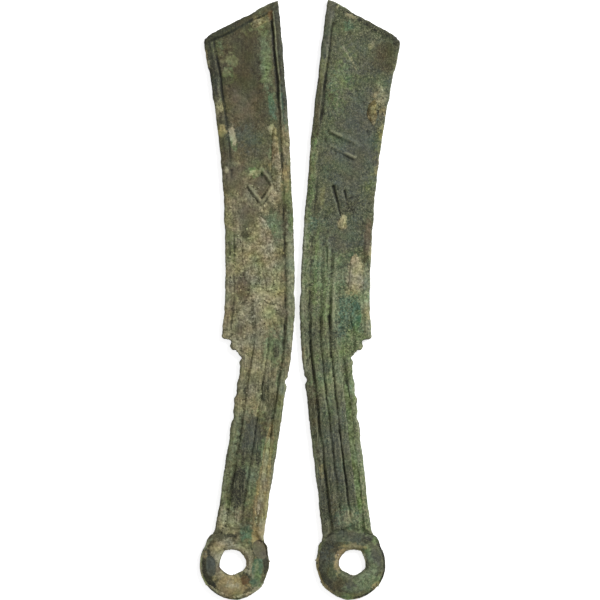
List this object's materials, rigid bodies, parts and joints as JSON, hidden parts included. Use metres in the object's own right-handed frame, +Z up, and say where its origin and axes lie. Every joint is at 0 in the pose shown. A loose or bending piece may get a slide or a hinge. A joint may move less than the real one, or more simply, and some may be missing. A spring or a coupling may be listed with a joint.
{
  "type": "knife-shaped bronze coin",
  "caption": "Cast bronze knife-shaped coins with raised rims, a ribbed grip and a pierced ring, lying side by side with opposite faces up.",
  "frame": {"origin": "on the surface the coins lie on, under the middle of the box round both coins", "axes": "+Y from the rings towards the blade tips, +Z up from the surface, +X from the left coin to the right coin"},
  "size_m": [0.0464, 0.1384, 0.0017],
  "materials": {
    "bronze": "dark green-brown patina, matt",
    "soil": "dry tan burial soil, rough",
    "malachite": "green copper mineral crust, rough"
  },
  "bodies": {
    "left_coin": {"left_casting": "bronze", "left_tip_soil": "soil", "left_back_soil": "soil", "left_blade_soil": "soil", "left_grip_soil": "soil", "left_ring_soil": "soil", "left_edge_soil": "soil", "left_root_soil": "soil", "left_mid_soil": "soil", "left_heel_green": "malachite", "left_grip_green": "malachite"},
    "right_coin": {"right_casting": "bronze", "right_tip_soil": "soil", "right_back_soil": "soil", "right_blade_soil": "soil", "right_grip_soil": "soil", "right_ring_soil": "soil", "right_edge_soil": "soil", "right_root_soil": "soil", "right_mid_soil": "soil", "right_heel_green": "malachite", "right_grip_green": "malachite"}
  },
  "joints": [
    {"name": "right_coin_lift", "type": "slide", "parent": "left_coin", "child": "right_coin", "axis": [0, 0, 1], "range_m": [0, 0.03]}
  ]
}
